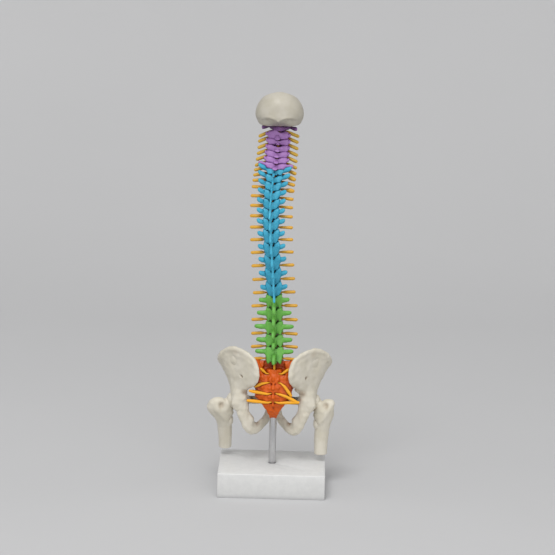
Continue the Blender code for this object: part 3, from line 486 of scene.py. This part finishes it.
def vertebra(node, mat, seed):
    bm = rounded(cad_mesh(node))
    if node in CHEST:
        carve_arch(bm, **CHEST_ARCH)
        lift_wings(bm, 0.42, 7.5)
        swell(bm, process_dots(bm, 0.5, 1.3))
    elif node in LUMBAR:
        carve_arch(bm, **LUMBAR_ARCH)
        swell(bm, process_dots(bm, 0.4, 0.7))
    elif node != "atlas_c1":
        swell(bm, process_dots(bm, 0.4, 0.6))
        swell(bm, [NECK_OPENING])
    if node in NECK_MOVES:
        drag(bm, NECK_MOVES[node])
    uneven(bm, 2.2, 0.3, seed)
    make_piece(bm, mat, node)


# Forms of the larger pieces. A dot is (centre, radius, height), a move is (centre, radius, way)

def skull_dots():
    """Two low arches that meet in the middle, hollows under them, and a lobed lower edge."""
    dots = line([(-19, -16.5, 423), (-15, -21.5, 424.8), (-10.5, -24.5, 424.8), (-6, -25.5, 423.4),
                 (-1.6, -25.0, 421.0)], 1.9, 0.5)
    dots += line([(-1.6, -25.0, 421.0), (3, -26, 423.6), (8, -25.5, 424.6), (13, -22.8, 424.4),
                  (17.5, -17.7, 422.6)], 1.9, 0.5)
    dots += line([(-1.6, -25.0, 420.6), (-1.6, -20.5, 417.6)], 1.6, 0.45)
    dots += [((-11.5, -20.3, 420.6), (5.5, 3.5, 2.6), -1.7), ((9.6, -21.3, 420.8), (5.5, 3.5, 2.6), -1.7),
             ((-1.6, -26.0, 430.0), (13, 8, 7), -1.1), ((-1.6, -20.0, 441.0), (16, 12, 8), 0.7),
             ((-16, -14.0, 417.6), (5, 6, 3), 0.9), ((15, -14.5, 417.3), (5, 6, 3), 0.9)]
    return dots


def hip_dots(side):
    """Crest rim, hollow blade, socket's rear wall, thicker rami and seat bump of one hip bone."""
    dots = line([(20, -21.5, 143), (22, -20.3, 152), (28.5, -15.8, 157), (35.5, -10.4, 159.6),
                 (44, -4.6, 161), (52, 1, 159), (59.5, 8.5, 152), (62, 12, 145)], 3.0, 1.15)
    dots += [((48, -2.0, 145), (11, 8, 12), -2.5), ((38, -9.5, 147), (6, 6, 7), -1.5),
             ((34.5, -11, 128), (4, 5, 5), 0.6), ((20, -24, 136), (4, 4, 7), 0.8),
             ((40.5, -3.5, 96), (7, 7, 10), 1.6), ((36.5, -4.5, 85), (6, 6, 7), 1.2),
             ((42, 1.0, 108), (6, 6, 6), 0.9), ((27, -2.5, 81), (4.5, 5, 8), 1.6),
             ((28, -5.0, 69), (6, 5, 6), 0.3), ((15, 8, 68), (6, 6, 5), 0.6), ((9, 17, 73), (5, 6, 6), 1.4),
             ((33, -6.5, 103), (3, 3, 3), 1.0)]
    return [((side * x, y, z), radius, height) for (x, y, z), radius, height in dots]


def hip_moves(side):
    """A wider seat, a smaller window, a higher crest, and at the right a narrower notch."""
    moves = [((41, -3, 94), (7, 8, 10), (4.5, 0, 0)), ((37, -4, 84), (6, 8, 7), (2.0, 0, 0)),
             ((26, -2, 78), (6, 9, 7), (-3.2, 0, 0)), ((14, 11, 71), (8, 9, 7), (-0.8, 0, 4.4)),
             ((46, -2, 161), (16, 12, 6), (0, 0, 1.3))]
    if side > 0:
        moves.append(((30, -6, 115), (6, 10, 7), (-5.5, 0, 0)))
    return [((side * x, y, z), radius, (side * a, b, c)) for (x, y, z), radius, (a, b, c) in moves]


def sacrum_dots():
    """Crest knobs, paired pits, side knobs and the wings' raised edges of the sacrum."""
    dots = []
    for y, z in ((-13.5, 128), (-15.7, 118.2), (-17.2, 108.3), (-16, 99)):
        dots.append(((-0.6, y, z), (1.9, 3, 2.4), 2.1))
        dots += [((side * 5.2, y + 1.0, z + 0.5), 1.9, 1.4) for side in SIDES]
        if z > 100:
            dots += [((side * 12.5, y + 2.4, z + 1.5), 3.0, 1.5) for side in SIDES]
            dots += [((side * 8.6, y + 1.4, z - 4.0), 2.2, 0.9) for side in SIDES]
    for y, z in ((-14.7, 123.1), (-16, 112.5), (-15.6, 102)):
        dots += [((x, y, z), (1.25, 3, 1.5), -2.3) for x in (-2.9, 2.0)]
    dots.append(((0.1, -13.5, 94.9), (1.6, 3, 2.4), -1.8))
    dots += [((side * 3.4, -12.5, 92), 1.8, 0.9) for side in SIDES]
    for side in SIDES:
        dots += line([(side * 21, 0, 147.5), (side * 16.5, -5, 142), (side * 14, -8.5, 134)], 2.2, 1.5)
        dots.append(((side * 11.0, -6.0, 138), (2.8, 4, 5), -2.8))
    return dots


def thigh_place(side, swing, point):
    """From the thigh bone's own place, measured from the hip centre, to the model."""
    x, y, z = point
    turn = math.radians(swing)
    return (side * (HIP_OUT + x), HIP_FORWARD + y * math.cos(turn) - z * math.sin(turn),
            HIP_HEIGHT + y * math.sin(turn) + z * math.cos(turn))


def thigh_dots(side, swing):
    """Greater and lesser bumps, their ridge, the pit beside the neck, and a slimmer right outer face."""
    dots = [((24, -6, 2), (6, 7, 5), 1.0), ((8, -4, -25), (4, 5, 5), 1.0),
            ((15.6, -12, -1.2), (3.8, 5, 4.8), -0.9), ((12, -10, -9), (4, 4, 4), 0.8)]
    dots += line([(20, -13.5, -3), (18, -13, -10), (13.5, -11.5, -17), (9.5, -9, -23)], 3.2, 0.9)
    if side > 0:
        dots.append(((29, -5, -6), (5, 10, 9), -3.0))
    return [(thigh_place(side, swing, place), radius, height) for place, radius, height in dots]


def thigh_moves(side, swing):
    """A fuller inner edge and shaft, and at the left a broader greater bump."""
    moves = [((6.6, -4, -14), (7, 10, 8), (-4.6, 0, 0)), ((8, -2, -38), (6, 12, 16), (-1.1, 0, 0)),
             ((20, -2, -38), (8, 12, 16), (1.1, 0, 0))]
    if side < 0:
        moves.append(((26, -5, -9), (10, 12, 13), (5.2, 0, 0)))
    return [(thigh_place(side, swing, place), radius, (side * a, b, c)) for place, radius, (a, b, c) in moves]


def thicken_nerves(bm):
    """Fuller nerve ends outside the column, and more so behind the sacrum."""
    places, normals = positions_and_normals(bm)
    outside = soft_step(np.abs(places[:, 0] + 2.0), 10.0, 15.0) * 0.32
    sacral = soft_step(-places[:, 2], -139.0, -136.0) * soft_step(-places[:, 1], 13.0, 16.0) * 0.45
    put_back(bm, places + normals * np.maximum(outside, sacral)[:, None])


# Plain pieces

def carry(node, mat):
    """Keep the frame's own mesh and give it a material."""
    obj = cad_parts[node]
    obj.data.materials.clear()
    obj.data.materials.append(mat)


def round_bar(profile, sides):
    """A round upright bar from (height, radius) pairs."""
    bm = bmesh.new()
    rings = []
    for z, radius in profile:
        ring = []
        for k in range(sides):
            angle = 2 * math.pi * k / sides
            ring.append(bm.verts.new((radius * math.cos(angle) * MM, radius * math.sin(angle) * MM, z * MM)))
        rings.append(ring)
    for a, b in zip(rings, rings[1:]):
        for k in range(sides):
            m = (k + 1) % sides
            bm.faces.new((a[k], a[m], b[m], b[k]))
    bm.faces.new(list(reversed(rings[0])))
    bm.faces.new(rings[-1])
    return bm


# Colours

# Colours of painted shade on the bone pieces; the near-black one is painted shadow
SHADE_BROWN = (0.22, 0.11, 0.045)
SHADOW_BLACK = (0.035, 0.028, 0.022)
SHADE = (0.27, 0.24, 0.20)

violet = plastic("violet", (0.40, 0.205, 0.50), (0.13, 0.03, 0.18))
# A darker copy of the violet with a wider reach for the first vertebra: painted shadow from the skull piece
skull_shadow_violet = plastic("skull_shadow_violet", (0.30, 0.13, 0.37), (0.05, 0.01, 0.07), reach=0.02)
blue = plastic("blue", (0.055, 0.40, 0.58), (0.005, 0.12, 0.20))
green = plastic("green", (0.15, 0.44, 0.075), (0.01, 0.12, 0.01))
orange = plastic("orange", (0.68, 0.11, 0.003), (0.22, 0.018, 0.001), reach=0.009)
yellow = nerve_plastic("yellow")
ivory = plastic("ivory", (0.60, 0.56, 0.46), (0.30, 0.24, 0.16), 0.5)
white = plastic("white", (0.66, 0.66, 0.65), (0.50, 0.50, 0.50), 0.35, 0.04)
steel = bright_steel("steel")

# Painted shade on the hip bones: brown in the sciatic notch, along the inner ischium and rami, under the
# crest and at the right sacroiliac edge; near-black painted shadow on the rear of the upper pubic ramus
# inside the pelvis
hip_shade_spots = []
for side in SIDES:
    hip_shade_spots += [
        ((side * 32.5, -5, 112), 1.0, 6.0, 0.6, SHADE_BROWN),
        ((side * 27.5, -1, 99), 1.0, 6.5, 0.8, SHADE_BROWN),
        ((side * 25, 2, 80), 1.0, 6.5, 0.75, SHADE_BROWN),
        ((side * 19, 6, 72), 0.5, 5.5, 0.75, SHADE_BROWN),
        ((side * 23, 26, 97), 4.0, 7.5, 0.95, SHADOW_BLACK),
        ((side * 43, -5, 157), 0.5, 6.0, 0.22, SHADE_BROWN),
    ]
hip_shade_spots.append(((24, -17, 121), 0.5, 7.0, 0.4, SHADE_BROWN))
hip_bone = bone_plastic("hip_bone", hip_shade_spots)
# The skull piece: the bone colour at 0.72 of its level as painted shade over the whole piece, and a painted
# shade spot on its lower part
skull_bone = bone_plastic("bone", [((-1, -18, 413), 5.0, 13.0, 0.65, SHADE)], 0.72)
thigh_bone = {}
for side, word, swing in LEGS:
    # Painted brown shade in the pit beside each thigh bone's neck
    pit = thigh_place(side, swing, (15.6, -11.5, -1.2))
    thigh_bone[word] = bone_plastic("thigh_bone_" + word, [(pit, 1.0, 5.5, 0.42, SHADE_BROWN)])


# The column

seed = 0
for names, mat, slot in ((NECK, violet, "neck_violet"), (CHEST, blue, "chest_blue"),
                         (LUMBAR, green, "lumbar_green")):
    for node in names:
        seed += 1
        # The first vertebra takes the violet with painted shadow from the skull piece
        vertebra(node, skull_shadow_violet if node == "atlas_c1" else mat, seed)
for node in sorted(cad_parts):
    if node.startswith("disc_"):
        make_piece(rounded(cad_mesh(node), 0.9), ivory, node)

nerves = remade(cad_mesh("spinal_cord"), FINE_CELL, 4)
swell(nerves, [((12.8, -10.0, 343.2), 4.5, 0.9), ((14.2, -5.0, 355.6), 4.5, 0.8)])
thicken_nerves(nerves)
make_piece(nerves, yellow, "spinal_cord")

sacrum = remade(cad_mesh("sacrum_coccyx"), FINE_CELL, 6)
drag(sacrum, [((side * 16, -11, 108), (6, 9, 7), (side * 4.0, 0, 0)) for side in SIDES])
swell(sacrum, sacrum_dots())
uneven(sacrum, 2.4, 0.5, 90)
make_piece(sacrum, orange, "sacrum_coccyx")


# Hip bones and thigh bones

for side, word, swing in LEGS:
    hip = remade(cad_mesh("hip_bone_" + word), HIP_CELL, 10)
    swell(hip, hip_dots(side))
    drag(hip, hip_moves(side))
    uneven(hip, 6, 0.45, 60 + side)
    make_piece(hip, hip_bone, "hip_bone_" + word)
    thigh = remade(cad_mesh("femur_" + word), FINE_CELL, 8)
    soften(thigh, thigh_place(side, swing, (15.6, -11.0, -1.2)), 9.0, 90)
    swell(thigh, thigh_dots(side, swing))
    drag(thigh, thigh_moves(side, swing))
    make_piece(thigh, thigh_bone[word], "femur_" + word, "thigh_" + word)
    carry("hip_pin_" + word, steel)
    carry("sacral_screw_" + word, steel)


# Skull piece, rod and base

skull = remade(rounded(cad_mesh("occiput"), 0.9), FINE_CELL, 16)
swell(skull, skull_dots())
drag(skull, [((side * 20, -8, 415.5), (8, 16, 8), (side * 2.4, 0, -2.4)) for side in SIDES])
drag(skull, [((side * 12, -13, 414), (6, 10, 5), (0, 0, -1.4)) for side in SIDES])
drag(skull, [((-1, -8, 448), (26, 24, 9), (0, 0, 0.9))])
make_piece(skull, skull_bone, "occiput")

make_piece(round_bar(ROD_PROFILE, ROD_FACES), steel, "support_rod")

block = cad_mesh("base")
bmesh.ops.dissolve_limit(block, angle_limit=math.radians(1), verts=block.verts, edges=block.edges)
block = through_modifier(block, "BEVEL", width=0.4 * MM, segments=2, limit_method="ANGLE",
                         angle_limit=math.radians(40))
make_piece(block, white, "base")


# Room, light and camera

def sweep(mat):
    """A floor that rises in a wide curve into a backdrop."""
    bm = bmesh.new()
    outline = [(-SWEEP_REACH, 0.0), (SWEEP_START, 0.0)]
    for n in range(1, SWEEP_STEPS + 1):
        angle = math.pi / 2 * n / SWEEP_STEPS
        outline.append((SWEEP_START + SWEEP_CURVE * math.sin(angle),
                        SWEEP_CURVE - SWEEP_CURVE * math.cos(angle)))
    outline.append((SWEEP_START + SWEEP_CURVE, SWEEP_REACH))
    rows = [[bm.verts.new((x, y, z)) for x in (-SWEEP_REACH, SWEEP_REACH)] for y, z in outline]
    for a, b in zip(rows, rows[1:]):
        bm.faces.new((a[0], a[1], b[1], b[0]))
    obj = linked_object("backdrop", bm)
    obj.data.materials.append(mat)


def area_light(name, place, size, power):
    """A round soft light that looks at the middle of the model."""
    data = bpy.data.lights.new(name, "AREA")
    data.shape = "DISK"
    data.size = size
    data.energy = power
    obj = bpy.data.objects.new(name, data)
    obj.location = place
    obj.rotation_euler = (Vector(LIGHT_AIM) - Vector(place)).to_track_quat("-Z", "Y").to_euler()
    bpy.context.collection.objects.link(obj)


def add_world(strength):
    world = bpy.data.worlds.new("world")
    bpy.context.scene.world = world
    world.use_nodes = True
    background = world.node_tree.nodes["Background"]
    background.inputs["Color"].default_value = (1, 1, 1, 1)
    background.inputs["Strength"].default_value = strength


def add_camera():
    """The photograph's view: a long lens from behind and a little above, rolled slightly."""
    turn, roll = math.radians(CAMERA_TURN), math.radians(CAMERA_ROLL)
    place = Vector((CAMERA_AWAY * math.sin(turn), -CAMERA_AWAY * math.cos(turn), CAMERA_UP))
    look = (Vector(CAMERA_AIM) - place).normalized()
    right = look.cross(Vector((0, 0, 1))).normalized()
    up = right.cross(look)
    rolled = right * math.cos(roll) + up * math.sin(roll)
    top = up * math.cos(roll) - right * math.sin(roll)
    data = bpy.data.cameras.new("camera")
    data.sensor_width = SENSOR_MM
    data.lens = LENS_PIXELS / PICTURE_PIXELS * SENSOR_MM
    data.clip_end = 50
    obj = bpy.data.objects.new("camera", data)
    obj.matrix_world = Matrix((rolled, top, -look)).transposed().to_4x4()
    obj.matrix_world.translation = place
    bpy.context.collection.objects.link(obj)
    bpy.context.scene.camera = obj


sweep(paper_material("paper"))
area_light("key", place=(-0.5, -1.6, 3.1), size=1.5, power=52)
area_light("fill", place=(0.9, -3.0, 1.0), size=2.0, power=16)
add_world(strength=0.80)
bpy.context.scene.view_settings.view_transform = "Standard"
add_camera()
